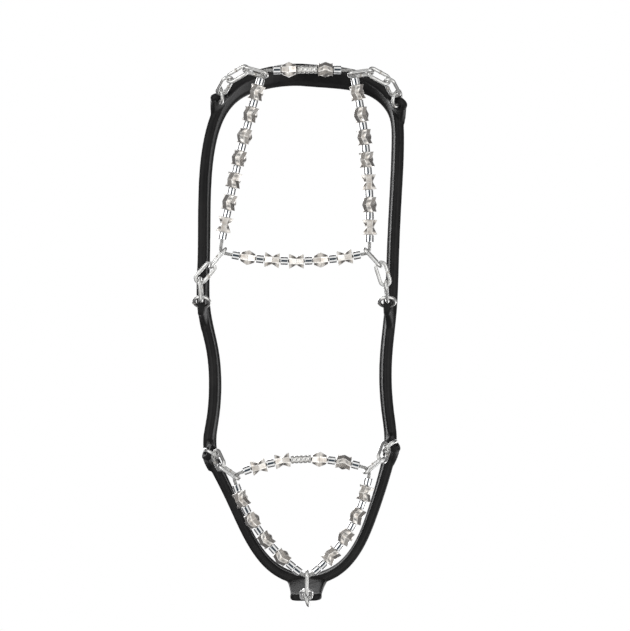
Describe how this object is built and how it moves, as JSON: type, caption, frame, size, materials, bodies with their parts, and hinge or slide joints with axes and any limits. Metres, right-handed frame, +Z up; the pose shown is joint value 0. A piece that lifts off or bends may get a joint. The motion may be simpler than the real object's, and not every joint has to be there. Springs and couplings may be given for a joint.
{
  "type": "shoe ice cleats",
  "caption": "Stretch-on ice cleat for one shoe: rubber harness, short chains and two steel-cable loops under the sole strung with turning faceted grip beads and spacer tubes.",
  "frame": {"origin": "on the ground, centred under the cleat's outline", "axes": "+Z up from the ground through the foot opening, the toe toward -Y and the heel toward +Y, +X to the right seen from above with the heel up the page"},
  "size_m": [0.1189, 0.3033, 0.067],
  "materials": {
    "rubber": "semi-gloss moulded elastomer",
    "plated_steel": "bright zinc plate",
    "cable_steel": "bare stranded wire",
    "crimp_metal": "satin, crimped",
    "spacer_steel": "polished",
    "bead_steel": "hardened, slightly grainy"
  },
  "bodies": {
    "harness_and_net": {"harness": "rubber", "anchor_rings": "plated_steel", "front_cable": "cable_steel", "rear_cable": "cable_steel", "front_ferrule": "crimp_metal", "rear_ferrule": "crimp_metal", "front_spacers": "spacer_steel", "rear_spacers": "spacer_steel"},
    "bead_toe_1": {"bead_toe_1": "bead_steel"},
    "bead_toe_2": {"bead_toe_2": "bead_steel"},
    "bead_right_1": {"bead_right_1": "bead_steel"},
    "bead_right_2": {"bead_right_2": "bead_steel"},
    "bead_right_3": {"bead_right_3": "bead_steel"},
    "bead_right_4": {"bead_right_4": "bead_steel"},
    "bead_right_5": {"bead_right_5": "bead_steel"},
    "bead_right_6": {"bead_right_6": "bead_steel"},
    "bead_right_7": {"bead_right_7": "bead_steel"},
    "bead_ball_1": {"bead_ball_1": "bead_steel"},
    "bead_ball_2": {"bead_ball_2": "bead_steel"},
    "bead_ball_3": {"bead_ball_3": "bead_steel"},
    "bead_ball_4": {"bead_ball_4": "bead_steel"},
    "bead_ball_5": {"bead_ball_5": "bead_steel"},
    "bead_left_1": {"bead_left_1": "bead_steel"},
    "bead_left_2": {"bead_left_2": "bead_steel"},
    "bead_left_3": {"bead_left_3": "bead_steel"},
    "bead_left_4": {"bead_left_4": "bead_steel"},
    "bead_left_5": {"bead_left_5": "bead_steel"},
    "bead_left_6": {"bead_left_6": "bead_steel"},
    "bead_left_7": {"bead_left_7": "bead_steel"},
    "bead_heel_front_1": {"bead_heel_front_1": "bead_steel"},
    "bead_heel_front_2": {"bead_heel_front_2": "bead_steel"},
    "bead_heel_front_3": {"bead_heel_front_3": "bead_steel"},
    "bead_heel_front_4": {"bead_heel_front_4": "bead_steel"},
    "bead_heel_right_1": {"bead_heel_right_1": "bead_steel"},
    "bead_heel_right_2": {"bead_heel_right_2": "bead_steel"},
    "bead_heel_right_3": {"bead_heel_right_3": "bead_steel"},
    "bead_heel_right_4": {"bead_heel_right_4": "bead_steel"},
    "bead_heel_left_1": {"bead_heel_left_1": "bead_steel"},
    "bead_heel_left_2": {"bead_heel_left_2": "bead_steel"},
    "bead_heel_left_3": {"bead_heel_left_3": "bead_steel"},
    "bead_heel_left_4": {"bead_heel_left_4": "bead_steel"},
    "link_front_left_1": {"link_front_left_1": "plated_steel"},
    "link_front_left_2": {"link_front_left_2": "plated_steel"},
    "link_front_left_3": {"link_front_left_3": "plated_steel"},
    "link_front_right_1": {"link_front_right_1": "plated_steel"},
    "link_front_right_2": {"link_front_right_2": "plated_steel"},
    "link_front_right_3": {"link_front_right_3": "plated_steel"},
    "link_mid_right_1": {"link_mid_right_1": "plated_steel"},
    "link_mid_right_2": {"link_mid_right_2": "plated_steel"},
    "link_mid_right_3": {"link_mid_right_3": "plated_steel"},
    "link_mid_left_1": {"link_mid_left_1": "plated_steel"},
    "link_mid_left_2": {"link_mid_left_2": "plated_steel"},
    "link_mid_left_3": {"link_mid_left_3": "plated_steel"},
    "link_heel_left_1": {"link_heel_left_1": "plated_steel"},
    "link_heel_left_2": {"link_heel_left_2": "plated_steel"},
    "link_heel_right_1": {"link_heel_right_1": "plated_steel"},
    "link_heel_right_2": {"link_heel_right_2": "plated_steel"},
    "link_heel_back_1": {"link_heel_back_1": "plated_steel"},
    "link_heel_back_2": {"link_heel_back_2": "plated_steel"}
  },
  "joints": [
    {"name": "spin_bead_toe_1", "type": "hinge", "parent": "harness_and_net", "child": "bead_toe_1", "pos_m": [-0.00576, -0.14414, 0.00437], "axis": [0.9998, -0.0186, 0], "continuous": true},
    {"name": "spin_bead_toe_2", "type": "hinge", "parent": "harness_and_net", "child": "bead_toe_2", "pos_m": [0.01424, -0.1442, 0.00437], "axis": [0.9999, 0.0129, 0], "continuous": true},
    {"name": "spin_bead_right_1", "type": "hinge", "parent": "harness_and_net", "child": "bead_right_1", "pos_m": [0.03173, -0.13154, 0.00437], "axis": [0.1854, 0.9827, 0], "continuous": true},
    {"name": "spin_bead_right_2", "type": "hinge", "parent": "harness_and_net", "child": "bead_right_2", "pos_m": [0.03382, -0.11938, 0.00437], "axis": [0.154, 0.9881, 0], "continuous": true},
    {"name": "spin_bead_right_3", "type": "hinge", "parent": "harness_and_net", "child": "bead_right_3", "pos_m": [0.03553, -0.10716, 0.00437], "axis": [0.1224, 0.9925, 0], "continuous": true},
    {"name": "spin_bead_right_4", "type": "hinge", "parent": "harness_and_net", "child": "bead_right_4", "pos_m": [0.03684, -0.09489, 0.00437], "axis": [0.0907, 0.9959, 0], "continuous": true},
    {"name": "spin_bead_right_5", "type": "hinge", "parent": "harness_and_net", "child": "bead_right_5", "pos_m": [0.03777, -0.08259, 0.00437], "axis": [0.059, 0.9983, 0], "continuous": true},
    {"name": "spin_bead_right_6", "type": "hinge", "parent": "harness_and_net", "child": "bead_right_6", "pos_m": [0.0383, -0.07026, 0.00437], "axis": [0.0271, 0.9996, 0], "continuous": true},
    {"name": "spin_bead_right_7", "type": "hinge", "parent": "harness_and_net", "child": "bead_right_7", "pos_m": [0.03844, -0.05792, 0.00437], "axis": [-0.0047, 1, 0], "continuous": true},
    {"name": "spin_bead_ball_1", "type": "hinge", "parent": "harness_and_net", "child": "bead_ball_1", "pos_m": [0.02483, -0.04148, 0.00437], "axis": [-0.9888, 0.1494, 0], "continuous": true},
    {"name": "spin_bead_ball_2", "type": "hinge", "parent": "harness_and_net", "child": "bead_ball_2", "pos_m": [0.01162, -0.03998, 0.00437], "axis": [-0.9971, 0.0758, 0], "continuous": true},
    {"name": "spin_bead_ball_3", "type": "hinge", "parent": "harness_and_net", "child": "bead_ball_3", "pos_m": [-0.00167, -0.03946, 0.00437], "axis": [-1, 0.0018, 0], "continuous": true},
    {"name": "spin_bead_ball_4", "type": "hinge", "parent": "harness_and_net", "child": "bead_ball_4", "pos_m": [-0.01496, -0.03993, 0.00437], "axis": [-0.9974, -0.0722, 0], "continuous": true},
    {"name": "spin_bead_ball_5", "type": "hinge", "parent": "harness_and_net", "child": "bead_ball_5", "pos_m": [-0.02817, -0.04138, 0.00437], "axis": [-0.9893, -0.1458, 0], "continuous": true},
    {"name": "spin_bead_left_1", "type": "hinge", "parent": "harness_and_net", "child": "bead_left_1", "pos_m": [-0.0408, -0.05933, 0.00437], "axis": [0.1854, -0.9827, 0], "continuous": true},
    {"name": "spin_bead_left_2", "type": "hinge", "parent": "harness_and_net", "child": "bead_left_2", "pos_m": [-0.0384, -0.07149, 0.00437], "axis": [0.2017, -0.9795, 0], "continuous": true},
    {"name": "spin_bead_left_3", "type": "hinge", "parent": "harness_and_net", "child": "bead_left_3", "pos_m": [-0.0358, -0.08362, 0.00437], "axis": [0.2178, -0.976, 0], "continuous": true},
    {"name": "spin_bead_left_4", "type": "hinge", "parent": "harness_and_net", "child": "bead_left_4", "pos_m": [-0.033, -0.0957, 0.00437], "axis": [0.2339, -0.9723, 0], "continuous": true},
    {"name": "spin_bead_left_5", "type": "hinge", "parent": "harness_and_net", "child": "bead_left_5", "pos_m": [-0.03, -0.10773, 0.00437], "axis": [0.25, -0.9683, 0], "continuous": true},
    {"name": "spin_bead_left_6", "type": "hinge", "parent": "harness_and_net", "child": "bead_left_6", "pos_m": [-0.0268, -0.11971, 0.00437], "axis": [0.266, -0.964, 0], "continuous": true},
    {"name": "spin_bead_left_7", "type": "hinge", "parent": "harness_and_net", "child": "bead_left_7", "pos_m": [-0.0234, -0.13164, 0.00437], "axis": [0.2819, -0.9595, 0], "continuous": true},
    {"name": "spin_bead_heel_front_1", "type": "hinge", "parent": "harness_and_net", "child": "bead_heel_front_1", "pos_m": [-0.0222, 0.07279, 0.00437], "axis": [0.96, -0.2801, 0], "continuous": true},
    {"name": "spin_bead_heel_front_2", "type": "hinge", "parent": "harness_and_net", "child": "bead_heel_front_2", "pos_m": [-0.00922, 0.06993, 0.00437], "axis": [0.9888, -0.1493, 0], "continuous": true},
    {"name": "spin_bead_heel_front_3", "type": "hinge", "parent": "harness_and_net", "child": "bead_heel_front_3", "pos_m": [0.01092, 0.06896, 0.00437], "axis": [0.9986, 0.0538, 0], "continuous": true},
    {"name": "spin_bead_heel_front_4", "type": "hinge", "parent": "harness_and_net", "child": "bead_heel_front_4", "pos_m": [0.02411, 0.07056, 0.00437], "axis": [0.9824, 0.1868, 0], "continuous": true},
    {"name": "spin_bead_heel_right_1", "type": "hinge", "parent": "harness_and_net", "child": "bead_heel_right_1", "pos_m": [0.03598, 0.08753, 0.00437], "axis": [-0.2614, 0.9652, 0], "continuous": true},
    {"name": "spin_bead_heel_right_2", "type": "hinge", "parent": "harness_and_net", "child": "bead_heel_right_2", "pos_m": [0.03158, 0.09986, 0.00437], "axis": [-0.409, 0.9125, 0], "continuous": true},
    {"name": "spin_bead_heel_right_3", "type": "hinge", "parent": "harness_and_net", "child": "bead_heel_right_3", "pos_m": [0.02531, 0.11134, 0.00437], "axis": [-0.5465, 0.8375, 0], "continuous": true},
    {"name": "spin_bead_heel_right_4", "type": "hinge", "parent": "harness_and_net", "child": "bead_heel_right_4", "pos_m": [0.01732, 0.12171, 0.00437], "axis": [-0.6706, 0.7419, 0], "continuous": true},
    {"name": "spin_bead_heel_left_1", "type": "hinge", "parent": "harness_and_net", "child": "bead_heel_left_1", "pos_m": [-0.00957, 0.12253, 0.00437], "axis": [-0.723, -0.6909, 0], "continuous": true},
    {"name": "spin_bead_heel_left_2", "type": "hinge", "parent": "harness_and_net", "child": "bead_heel_left_2", "pos_m": [-0.01835, 0.11295, 0.00437], "axis": [-0.6251, -0.7806, 0], "continuous": true},
    {"name": "spin_bead_heel_left_3", "type": "hinge", "parent": "harness_and_net", "child": "bead_heel_left_3", "pos_m": [-0.02578, 0.1023, 0.00437], "axis": [-0.5162, -0.8565, 0], "continuous": true},
    {"name": "spin_bead_heel_left_4", "type": "hinge", "parent": "harness_and_net", "child": "bead_heel_left_4", "pos_m": [-0.03173, 0.09075, 0.00437], "axis": [-0.3982, -0.9173, 0], "continuous": true},
    {"name": "roll_link_front_left_1", "type": "hinge", "parent": "harness_and_net", "child": "link_front_left_1", "pos_m": [-0.02416, -0.1429, 0.00483], "axis": [-0.9636, -0.2582, 0.0698], "range_deg": [-8, 8]},
    {"name": "roll_link_front_left_2", "type": "hinge", "parent": "harness_and_net", "child": "link_front_left_2", "pos_m": [-0.03395, -0.14205, 0.0074], "axis": [-0.8407, 0.466, 0.2756], "range_deg": [-8, 8]},
    {"name": "roll_link_front_left_3", "type": "hinge", "parent": "harness_and_net", "child": "link_front_left_3", "pos_m": [-0.04123, -0.13606, 0.01204], "axis": [-0.3999, 0.64, 0.6561], "range_deg": [-8, 8]},
    {"name": "roll_link_front_right_1", "type": "hinge", "parent": "harness_and_net", "child": "link_front_right_1", "pos_m": [0.03361, -0.14222, 0.00495], "axis": [0.9865, -0.1386, 0.0872], "range_deg": [-8, 8]},
    {"name": "roll_link_front_right_2", "type": "hinge", "parent": "harness_and_net", "child": "link_front_right_2", "pos_m": [0.04363, -0.14085, 0.00759], "axis": [0.8521, 0.4342, 0.2924], "range_deg": [-8, 8]},
    {"name": "roll_link_front_right_3", "type": "hinge", "parent": "harness_and_net", "child": "link_front_right_3", "pos_m": [0.05087, -0.13498, 0.01233], "axis": [0.3827, 0.637, 0.6691], "range_deg": [-8, 8]},
    {"name": "roll_link_mid_right_1", "type": "hinge", "parent": "harness_and_net", "child": "link_mid_right_1", "pos_m": [0.04, -0.04138, 0.00574], "axis": [0.6671, 0.7154, 0.2079], "range_deg": [-8, 8]},
    {"name": "roll_link_mid_right_2", "type": "hinge", "parent": "harness_and_net", "child": "link_mid_right_2", "pos_m": [0.04573, -0.03258, 0.00809], "axis": [0.3011, 0.9267, 0.225], "range_deg": [-8, 8]},
    {"name": "roll_link_mid_right_3", "type": "hinge", "parent": "harness_and_net", "child": "link_mid_right_3", "pos_m": [0.04773, -0.02304, 0.01241], "axis": [0.0801, 0.7618, 0.6428], "range_deg": [-8, 8]},
    {"name": "roll_link_mid_left_1", "type": "hinge", "parent": "harness_and_net", "child": "link_mid_left_1", "pos_m": [-0.04462, -0.04121, 0.00517], "axis": [-0.6246, 0.7714, 0.1219], "range_deg": [-8, 8]},
    {"name": "roll_link_mid_left_2", "type": "hinge", "parent": "harness_and_net", "child": "link_mid_left_2", "pos_m": [-0.0517, -0.03301, 0.00699], "axis": [-0.6695, 0.7179, 0.1908], "range_deg": [-8, 8]},
    {"name": "roll_link_mid_left_3", "type": "hinge", "parent": "harness_and_net", "child": "link_mid_left_3", "pos_m": [-0.05426, -0.02384, 0.01045], "axis": [0.0616, 0.8808, 0.4695], "range_deg": [-8, 8]},
    {"name": "roll_link_heel_left_1", "type": "hinge", "parent": "harness_and_net", "child": "link_heel_left_1", "pos_m": [-0.03852, 0.07585, 0.00529], "axis": [-0.821, -0.5538, 0.1392], "range_deg": [-8, 8]},
    {"name": "roll_link_heel_left_2", "type": "hinge", "parent": "harness_and_net", "child": "link_heel_left_2", "pos_m": [-0.04457, 0.0695, 0.01056], "axis": [-0.3377, -0.6351, 0.6947], "range_deg": [-8, 8]},
    {"name": "roll_link_heel_right_1", "type": "hinge", "parent": "harness_and_net", "child": "link_heel_right_1", "pos_m": [0.04078, 0.07215, 0.00495], "axis": [0.785, -0.6133, 0.0872], "range_deg": [-8, 8]},
    {"name": "roll_link_heel_right_2", "type": "hinge", "parent": "harness_and_net", "child": "link_heel_right_2", "pos_m": [0.04625, 0.06542, 0.01007], "axis": [0.2649, -0.6556, 0.7071], "range_deg": [-8, 8]},
    {"name": "roll_link_heel_back_1", "type": "hinge", "parent": "harness_and_net", "child": "link_heel_back_1", "pos_m": [0.00399, 0.13675, 0.00574], "axis": [-0.0171, 0.978, 0.2079], "range_deg": [-8, 8]},
    {"name": "roll_link_heel_back_2", "type": "hinge", "parent": "harness_and_net", "child": "link_heel_back_2", "pos_m": [0.00373, 0.14374, 0.01269], "axis": [-0.0142, 0.4065, 0.9135], "range_deg": [-8, 8]}
  ]
}
